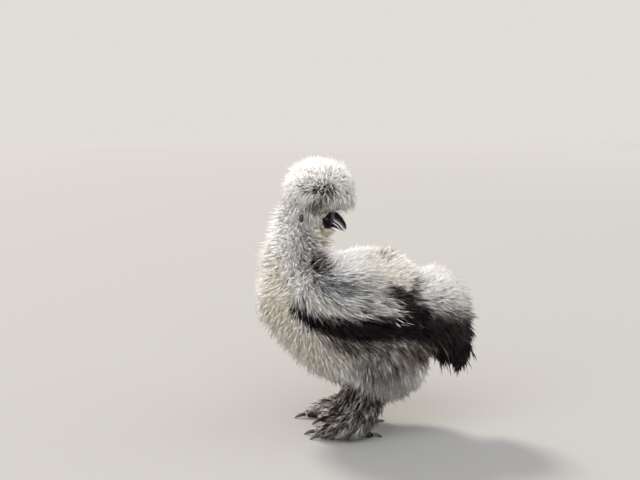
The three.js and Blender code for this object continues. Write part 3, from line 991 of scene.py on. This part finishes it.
def off_the_face(tuft):
    """Drops the tufts that would cover the bare face or the bill, and sets which way is sideways."""
    keep = np.ones(len(tuft["root"]), bool)
    tight = rng.uniform(0.75, 1.1, len(keep))
    for p in tuft["guide"][1:]:
        across = (p[:, 0] - FACE_MIDDLE[0]) / FACE_SIZE[0]
        up = (p[:, 2] - FACE_MIDDLE[1]) / FACE_SIZE[1]
        keep &= across ** 4 + up ** 4 > tight ** 4
    picked = {key: value[keep] for key, value in tuft.items() if key != "guide"}
    picked["guide"] = [p[keep] for p in tuft["guide"]]
    picked["side"] = unit(np.cross(picked["normal"], picked["guide"][2] - picked["root"]))
    return picked


# %% Tufts that lie along the skin
PLANTED_DEEP = 0.5  # mm, how far a root lies under the skin
MIDDLE_RISE = 0.42  # how high the middle of a tuft lies, as a part of the height of its tip


def lying(count, where, length, wisps, stand=(0.55, 1.05), swing=0.16):
    """Guides of tufts that follow the skin and lift towards the outline: three places along each."""
    tuft = roots(count, where)
    root, normal = tuft["root"], tuft["normal"]
    flat = unit(tuft["way"] - scaled(normal, (tuft["way"] * normal).sum(1)))
    flat = unit(flat + scaled(np.cross(normal, flat), rng.normal(0, swing, count)))
    size = length * rng.uniform(0.7, 1.15, count)
    height = tuft["depth"] * rng.uniform(*stand, count) * (1 + 0.2 * noise_at(root, UNEVEN))
    loose = rng.random(count) < wisps
    height = np.where(loose, tuft["depth"] * rng.uniform(1.15, 1.6, count) + 1, height)
    tuft["tight"] = np.where(loose, WISP_TIGHT, 1.0)
    travel = np.sqrt((size ** 2 - height ** 2).clip((0.35 * size) ** 2))
    middle, at = on_skin(root + scaled(flat, 0.5 * travel))
    middle_normal, way, _ = surface(at)
    onward = unit(way - scaled(middle_normal, (way * middle_normal).sum(1)) + flat)
    end, at = on_skin(middle + scaled(onward, 0.5 * travel))
    end_normal = surface(at)[0]
    tuft["guide"] = [
        root - PLANTED_DEEP * normal,
        middle + scaled(middle_normal, MIDDLE_RISE * height),
        end + scaled(unit(end_normal + middle_normal), height),
    ]
    return off_the_face(tuft)


# %% Tufts that stand free
def at_each(setting, p):
    """A setting at each of the places p. It is a number, or a function of the place."""
    return setting(p) if callable(setting) else np.full(len(p), setting)


def standing(count, where, length, reach, outward, droop, swing=0.14, wisps=0.12, hang=None, toward=None):
    """Guides of tufts that leave the skin at a slant and bend down under their weight.

    Each ends at its length or near the outline of the fluff, whichever comes first.
    """
    tuft = roots(count, where)
    root, normal = tuft["root"], tuft["normal"]
    way = tuft["way"] if toward is None else np.tile(toward, (count, 1))
    heading = outward * normal + (1 - outward) * unit(way)
    heading = unit(heading + scaled(rng.normal(0, 1, (count, 3)), at_each(swing, root)))
    onward = heading.copy()
    onward[:, 2] -= at_each(droop, root)
    onward = unit(onward)
    chord = unit(heading + onward)
    far = np.full(count, 1.0)
    for i in range(count):
        hit = outline_tree.ray_cast(Vector(root[i]), Vector(chord[i]))
        far[i] = tuft["depth"][i] if hit[3] is None else hit[3]
    far *= rng.uniform(*reach, count) * (1 + 0.25 * noise_at(root, UNEVEN))
    if hang is not None:
        downward = (-1.25 * chord[:, 2]).clip(0, 1)
        far = np.maximum(far, hang(root) * rng.uniform(0.75, 1.12, count) * downward)
    loose = rng.random(count) < wisps
    far = np.where(loose, far.clip(3) * rng.uniform(1.12, 1.45, count), far)
    tuft["tight"] = np.where(loose, WISP_TIGHT, 1.0)
    size = np.minimum(length * rng.uniform(0.75, 1.1, count), far).clip(1.5)
    middle = root + scaled(heading, 0.5 * size)
    tuft["guide"] = [root - PLANTED_DEEP * normal, middle, middle + scaled(onward, 0.5 * size)]
    return off_the_face(tuft)


# %% Strands
# how far along a strand its rings of three corners lie
STATIONS = {1: [0.52], 2: [0.34, 0.74]}


def strands(tuft, number, width, spread, pinch, fray, rings):
    """All strands of the tufts: the places of their corners, how far along each lies, and their tuft."""
    base, bow, tip = (np.repeat(guide, number, axis=0) for guide in tuft["guide"])
    side = np.repeat(tuft["side"], number, axis=0)
    normal = np.repeat(tuft["normal"], number, axis=0)
    tight = np.repeat(tuft["tight"], number)
    count = len(base)
    angle = rng.uniform(0, TURN, count)
    out = spread * np.sqrt(rng.random(count))
    offset = scaled(side, out * np.cos(angle)) + scaled(np.cross(side, normal), out * np.sin(angle))
    short = rng.uniform(0.72, 1.0, count)
    stray = scaled(rng.normal(0, fray, (count, 3)), tight)
    start = base + offset
    end = base + scaled(tip - base, short) + scaled(offset, pinch * tight) + stray
    middle = base + scaled(bow - base, 0.5 + 0.5 * short) + scaled(offset, 0.4 + 0.4 * tight) + 0.35 * stray
    bend = 2 * middle - 0.5 * (start + end)
    radius = 0.5 * (width * rng.uniform(0.75, 1.2, count))
    phase = rng.uniform(0, TURN, count)
    places = [start]
    level = [0.0]
    for t in STATIONS[rings]:
        centre = (1 - t) ** 2 * start + 2 * t * (1 - t) * bend + t ** 2 * end
        heading = unit(2 * (1 - t) * (bend - start) + 2 * t * (end - bend))
        u = unit(np.cross(heading, normal) + 1e-6)
        v = np.cross(heading, u)
        for corner in range(3):
            turn = phase + corner * TURN / 3
            places.append(centre + scaled(u, radius * np.cos(turn)) + scaled(v, radius * np.sin(turn)))
            level.append(t)
    places.append(end)
    level.append(1.0)
    return np.stack(places, 1), np.array(level), np.repeat(np.arange(len(tuft["root"])), number)


def strand_faces(rings):
    """Corner numbers of the triangles of one closed strand, from its root point to its tip point."""
    tip = 3 * rings + 1
    faces = []
    for s in range(3):
        after = (s + 1) % 3
        faces.append((0, 1 + after, 1 + s))
        for k in range(rings - 1):
            a, b = 1 + 3 * k + s, 1 + 3 * k + after
            faces += [(a, b, b + 3), (a, b + 3, a + 3)]
        faces.append((tip - 3 + s, tip - 3 + after, tip))
    return np.array(faces)


# %% A mesh from arrays
def mesh_from(name, places, faces):
    """A mesh from arrays of corner places and triangles."""
    mesh = bpy.data.meshes.new(name)
    mesh.vertices.add(len(places))
    mesh.vertices.foreach_set("co", places.astype(np.float32).ravel())
    mesh.loops.add(faces.size)
    mesh.loops.foreach_set("vertex_index", faces.astype(np.int32).ravel())
    mesh.polygons.add(len(faces))
    mesh.polygons.foreach_set("loop_start", np.arange(0, faces.size, 3, dtype=np.int32))
    mesh.polygons.foreach_set("use_smooth", np.ones(len(faces), bool))
    mesh.update(calc_edges=True)
    return mesh


# %% Colour and map of the strands
RAGGED_BORDER = 1.6  # mm, how unevenly one marking meets the next
WAVE, DAPPLE = 9.0, 4.0  # mm, the sizes of the mottling
PATCH = 0.003  # how wide each strand's place on the map is, as a part of the map
MAP_EDGE = 0.0005


def shades(tuft, owner, paint, seen):
    """Tone and warmth of each strand, read part of the way along its tuft so that borders are ragged."""
    share = rng.uniform(*seen, len(tuft["root"]))
    shown = tuft["root"] + scaled(tuft["guide"][2] - tuft["root"], share)
    tone, warmth, mottle = paint(shown + rng.normal(0, RAGGED_BORDER, shown.shape))
    speck = rng.random(len(tone)) - 0.5
    uneven = 0.75 * speck + 0.35 * noise_at(shown, WAVE) + 0.7 * noise_at(shown, DAPPLE)
    tone = np.clip(tone + mottle * uneven, 0, 1)[owner]
    tone = np.clip(tone + rng.normal(0, 1, len(owner)) * (0.03 + 0.12 * mottle[owner]), 0, 1)
    return tone, warmth[owner]


def strand_map(tuft, owner, level, corner, rings):
    """Map places of the corners of all strands: a small patch where each tuft's root lies."""
    across = np.array([0.5] + [0.0, 0.5, 1.0] * rings + [0.5])[corner]
    flat = np.empty((len(owner), len(corner), 2), np.float32)
    flat[:, :, 0] = tuft["map"][owner][:, None, 0] + PATCH * (across - 0.5)
    flat[:, :, 1] = tuft["map"][owner][:, None, 1] + PATCH * (level[corner] - 0.5)
    return flat.clip(MAP_EDGE, 1 - MAP_EDGE)


# %% [markdown]
# ## The finish of the feathers
# Hair-like feather is dull, soft and a little see-through, so it is rough and lets some light into
# each strand. All pieces share one material, and their colour comes from values stored on them. A
# strand is painted darker at its root, as the shade deep in the coat.

# %% Plumage material
plumage, tree, shader = new_material("hair-like silkie plumage", {
    "Roughness": 0.65,
    "Specular IOR Level": 0.04,
    "Subsurface Weight": 0.85,
    "Subsurface Radius": (1.0, 0.95, 0.9),
    "Subsurface Scale": 1.2 * MM,
})
along = add_node(tree, "ShaderNodeAttribute", attribute_name="along").outputs["Fac"]
# painted shade: each strand darker towards its root, as the shade deep in the coat
root_shade_ramp = add_node(tree, "ShaderNodeValToRGB", {"Fac": along})
set_stops(root_shade_ramp.color_ramp, [(0.0, "#c6c2bd"), (0.4, "#f1efec"), (0.7, "#ffffff")])
root_shaded = {FACTOR: 1.0, FIRST: plumage_colour(tree), SECOND: root_shade_ramp.outputs["Color"]}
colour = add_node(tree, "ShaderNodeMix", root_shaded, **MULTIPLY).outputs[MIXED]
# and no two tufts are quite alike
chance = add_node(tree, "ShaderNodeAttribute", attribute_name="chance").outputs["Fac"]
varied = add_node(tree, "ShaderNodeMapRange", {"Value": chance, "To Min": 0.84, "To Max": 1.06})
unlike = {FACTOR: 1.0, FIRST: colour, SECOND: varied.outputs["Result"]}
colour = add_node(tree, "ShaderNodeMix", unlike, **MULTIPLY).outputs[MIXED]
tree.links.new(colour, shader.inputs["Base Color"])

# %% Making a coat piece
# For each piece: strands in a tuft, their thickness, how far apart they grow, how much of that
# spread is left at their tips, how unevenly they end (all in mm), and how many rings bend them
STRANDS = {
    "coat_crest": (4, 0.42, 1.1, 0.45, 0.6, 1),
    "coat_face": (4, 0.36, 1.0, 0.5, 0.6, 1),
    "coat_neck": (5, 0.4, 1.5, 0.65, 0.9, 1),
    "coat_throat": (5, 0.38, 1.5, 0.6, 0.8, 1),
    "coat_breast": (5, 0.4, 1.7, 0.9, 0.8, 1),
    "coat_back": (5, 0.42, 1.4, 0.35, 0.7, 1),
    "coat_belly": (5, 0.42, 1.8, 0.9, 1.0, 1),
    "coat_wing": (5, 0.45, 1.5, 0.25, 0.6, 1),
    "coat_thigh": (5, 0.42, 1.8, 0.85, 1.1, 1),
    "coat_leg": (5, 0.45, 1.4, 0.3, 0.9, 1),
    "coat_toes": (3, 0.34, 0.8, 0.4, 0.4, 1),
    "quills": (2, 0.5, 0.5, 0.3, 0.5, 2),
    "coat_cushion": (5, 0.4, 1.5, 0.5, 1.0, 1),
    "coat_tail": (5, 0.6, 1.5, 0.2, 0.5, 2),
}
OVER_FLOOR = 0.4  # mm, how low a strand may hang


def coat(name, tuft, nodes, seen=(0.3, 0.85), paint=markings):
    """Builds one coat piece from its tufts and gives it colour values and its place on the map."""
    sizes = STRANDS[part_of(name)]
    rings = sizes[-1]
    places, level, owner = strands(tuft, *sizes)
    places[:, :, 2] = np.maximum(places[:, :, 2], OVER_FLOOR)
    count, each = places.shape[:2]
    template = strand_faces(rings)
    faces = (np.arange(count)[:, None, None] * each + template).reshape(-1, 3)
    mesh = mesh_from(name, to_row(places.reshape(-1, 3)), faces)
    piece = bpy.data.objects.new(name, mesh)
    scene.collection.objects.link(piece)
    tone, warmth = shades(tuft, owner, paint, seen)
    chance = rng.random(len(tuft["root"]))[owner]
    for value, amount in (("tone", tone), ("warmth", warmth), ("chance", chance)):
        give(mesh, value, np.repeat(amount, each))
    give(mesh, "along", np.tile(level, count))
    flat = strand_map(tuft, owner, level, template.ravel(), rings)
    mesh.uv_layers.new(name="OFBake").data.foreach_set("uv", flat.ravel())
    mesh.materials.append(plumage)
    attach(piece, "root")
    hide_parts(*nodes)
    print(f"{name}: {count} strands, {len(faces)} triangles")


# %% [markdown]
# ## Planting the crest and face
# The crest is a ball of tufts that stand out from the crown and hang over the cheeks, with a whorl on
# each side. A fixed length would not make the ball round, so each tuft runs from the skin to about
# the outline. Tufts round the bare face are short and lie back.

# %% Crest and face
FEW = 1.0
WHORL = np.array([-42.0, 253.0])


def many(count):
    return int(count * FEW)


def crest_droop(p):
    """The lower rim of the crest hangs over the cheeks."""
    ahead = step(p[:, 0], -46, -28)
    return 0.1 + (0.9 + 1.1 * ahead) * (1 - step(p[:, 2], 238 + 8 * ahead, 258 + 6 * ahead))


def crest_hang(p):
    """The least length, in mm, of the tufts that grow low on the crest."""
    ahead = step(p[:, 0], -46, -28)
    return (14 + 13 * ahead) * (1 - step(p[:, 2], 242 + 7 * ahead, 256 + 8 * ahead))


def crest_swing(p):
    """Tufts cross one another at the whorl on each side, so that no skin shows there."""
    side = np.exp(-((p[:, 0] - WHORL[0]) ** 2 + (p[:, 2] - WHORL[1]) ** 2) / 11 ** 2)
    crown = np.exp(-((p[:, 0] - WHORL[0]) ** 2 + p[:, 1] ** 2) / 17 ** 2)
    return 0.14 + 0.4 * np.maximum(side, crown)


tufts = standing(many(6600), on_part("crest"), 26, (0.8, 1.08), 0.35,
                 crest_droop, crest_swing, 0.3, crest_hang)
coat("coat_crest", tufts, ["crest"], seen=(0.55, 1.0))
tufts = lying(many(2800), on_part("head"), 12, 0.15, (0.8, 1.4), 0.22)
coat("coat_face", tufts, ["head"])

# %% [markdown]
# ## Planting the neck, breast, back and belly
# Neck, breast and belly lie in loose layers whose tips lift a little, so their tufts follow the
# skin. On the back they stand up and lean backwards. Under the chin they stand out forwards, where
# tufts laid along the skin would leave a gap.

# %% Neck and throat
tufts = lying(many(4900), on_part("neck"), 17, 0.22, (0.5, 1.05))
coat("coat_neck", tufts, ["neck"])
throat = on_part("neck", "head") & (spot_x > -49)
throat &= (spot_z > 199) & (spot_z < 213.5)
tufts = standing(many(400), throat, 9.5, (6, 9), 0.25, 0.3, 0.2, toward=(1.0, 0.0, -0.35))
coat("coat_throat", tufts, ["neck"])

# %% Breast, back and belly
front = spot_x < -30
top = spot_z > 155
breast = front & (on_part("trunk") | (on_part("neck") & (spot_z < 164)))
tufts = lying(many(5000), breast, 18, 0.2, swing=0.22)
coat("coat_breast", tufts, ["trunk"])
tufts = standing(many(4200), on_part("trunk") & ~front & top, 19, (0.75, 1.2), 0.4, 0.02, wisps=0.32)
coat("coat_back", tufts, ["trunk"])
tufts = lying(many(4200), on_part("trunk") & ~front & ~top, 20, 0.14)
coat("coat_belly", tufts, ["trunk"])

# %% [markdown]
# ## Planting the wings and legs
# A wing has the longest feathers that lie flat. Thighs and legs are in soft trousers that hang down
# to the toes, so their tufts stand free and droop. Both sides are planted by the same lines.

# %% Wings and legs
for side, sign in SIDES.items():
    here = (spot_y < 0) == (sign < 0)
    tufts = lying(many(3400), on_part("wing") & here, 22, 0.24, swing=0.3)
    coat("coat_wing_" + side, tufts, ["wing_" + side])
    tufts = standing(many(2300), on_part("thigh") & here, 28, (0.8, 1.2), 0.25, 0.5, wisps=0.22)
    coat("coat_thigh_" + side, tufts, ["thigh_" + side])
    trousers = on_part("shank", "foot_feathers") & here
    tufts = standing(many(1500), trousers, 24, (0.9, 1.4), 0.3, 0.5, 0.22, 0.25)
    coat("coat_leg_" + side, tufts, ["shank_" + side, "foot_feathers_" + side])
    toe_tops = on_part("foot", bare=True) & here
    toe_tops &= (spot_z > 6) & (spot_x > -48)
    tufts = standing(many(400), toe_tops, 8, (6, 8), 0.3, 0.3, 0.2, 0.1)
    coat("coat_toes_" + side, tufts, ["foot_" + side])

# %% [markdown]
# ## Quills
# A few broken, whitish quills stick out of the black at the rear of each wing. They are single pale
# strands, thicker than the rest, with a colour of their own in place of the markings.

# %% Quills of the wings
def quill_paint(p):
    """Tone, warmth and mottling of the quills, the same at all places p."""
    return [np.full(len(p), value) for value in (0.2, 0.15, 0.4)]


for side, sign in SIDES.items():
    rear = on_part("wing") & ((spot_y < 0) == (sign < 0))
    rear &= (spot_x > 14) & (spot_x < 32)
    rear &= (spot_z > 122) & (spot_z < 142)
    tufts = standing(9, rear, 18, (3, 4), 0.17, 0.02, 0.34)
    coat("quills_" + side, tufts, ["wing_" + side], paint=quill_paint)

# %% [markdown]
# ## Planting the cushion and tail
# The cushion is a pompon over the rump, fluffier than all else, so a third of its tufts are wisps.
# The tail's long soft feathers hang free in locks, with gaps between them, so noise sets how far each
# lock reaches.

# %% Cushion and tail
def tail_hang(p):
    """The least length, in mm, of the locks that hang from the lower edge of the tail."""
    lock = noise_at(columns(p[:, 0] / 4, p[:, 1] / 5, 0.5), 1.0)
    ahead = 1 - step(p[:, 0], 78, 96)
    low = 1 - step(p[:, 2] + 0.3 * (p[:, 0] - 60), 94, 110)
    return (4 + 13 * ahead + 24 * lock).clip(2) * low


tufts = standing(many(4200), on_part("cushion"), 32, (0.75, 1.05), 0.35, 0.15, wisps=0.35)
coat("coat_cushion", tufts, ["cushion"], seen=(0.05, 0.6))
tufts = standing(many(2300), on_part("tail"), 52, (0.6, 1.0), 0.2, 0.75, 0.15, 0.16, tail_hang)
coat("coat_tail", tufts, ["tail"])
coats = [piece for piece in scene.objects if part_of(piece.name) in STRANDS]
print(len(coats), "coat pieces:", sum(len(piece.data.polygons) for piece in coats), "triangles")
